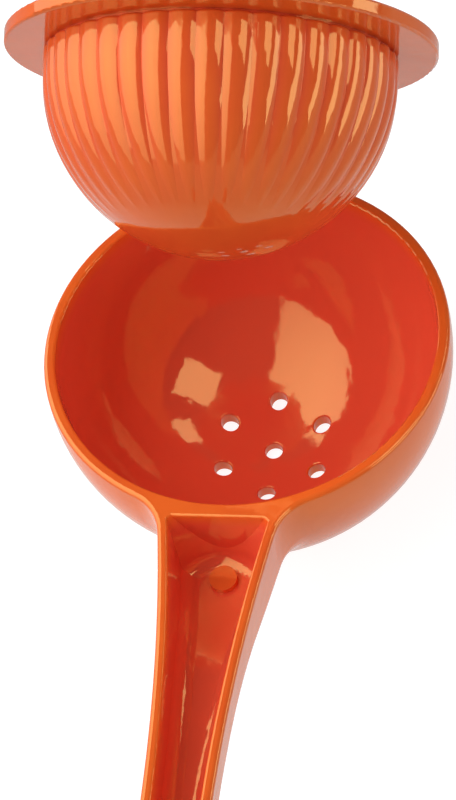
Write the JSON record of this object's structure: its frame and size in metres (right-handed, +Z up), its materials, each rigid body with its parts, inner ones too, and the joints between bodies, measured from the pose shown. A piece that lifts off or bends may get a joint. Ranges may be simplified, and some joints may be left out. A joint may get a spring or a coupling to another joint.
{
  "type": "hinged citrus squeezer",
  "caption": "Hand press for citrus fruit: a holed bowl and a ribbed press, each with a long channel handle, joined by a hinge pin.",
  "frame": {"origin": "middle of the small flat foot under the bowl, on the bowl's own axis", "axes": "+Z up along the bowl's axis, +Y from the bowl to the hinge, -Y along the lower handle, +X along the hinge pin to the right"},
  "size_m": [0.0947, 0.2465, 0.273],
  "materials": {
    "orange_enamel": "gloss",
    "pin_steel": "satin",
    "washer_steel": "satin"
  },
  "bodies": {
    "lower": {"lower_arm": "orange_enamel", "hinge_pin": "pin_steel", "hinge_washer_left": "washer_steel", "hinge_washer_right": "washer_steel"},
    "upper": {"upper_arm": "orange_enamel"}
  },
  "joints": [
    {"name": "hinge", "type": "hinge", "parent": "lower", "child": "upper", "pos_m": [0, 0.0636, 0.0539], "axis": [-1, 0, 0], "range_deg": [-61.7, 58.3]}
  ]
}
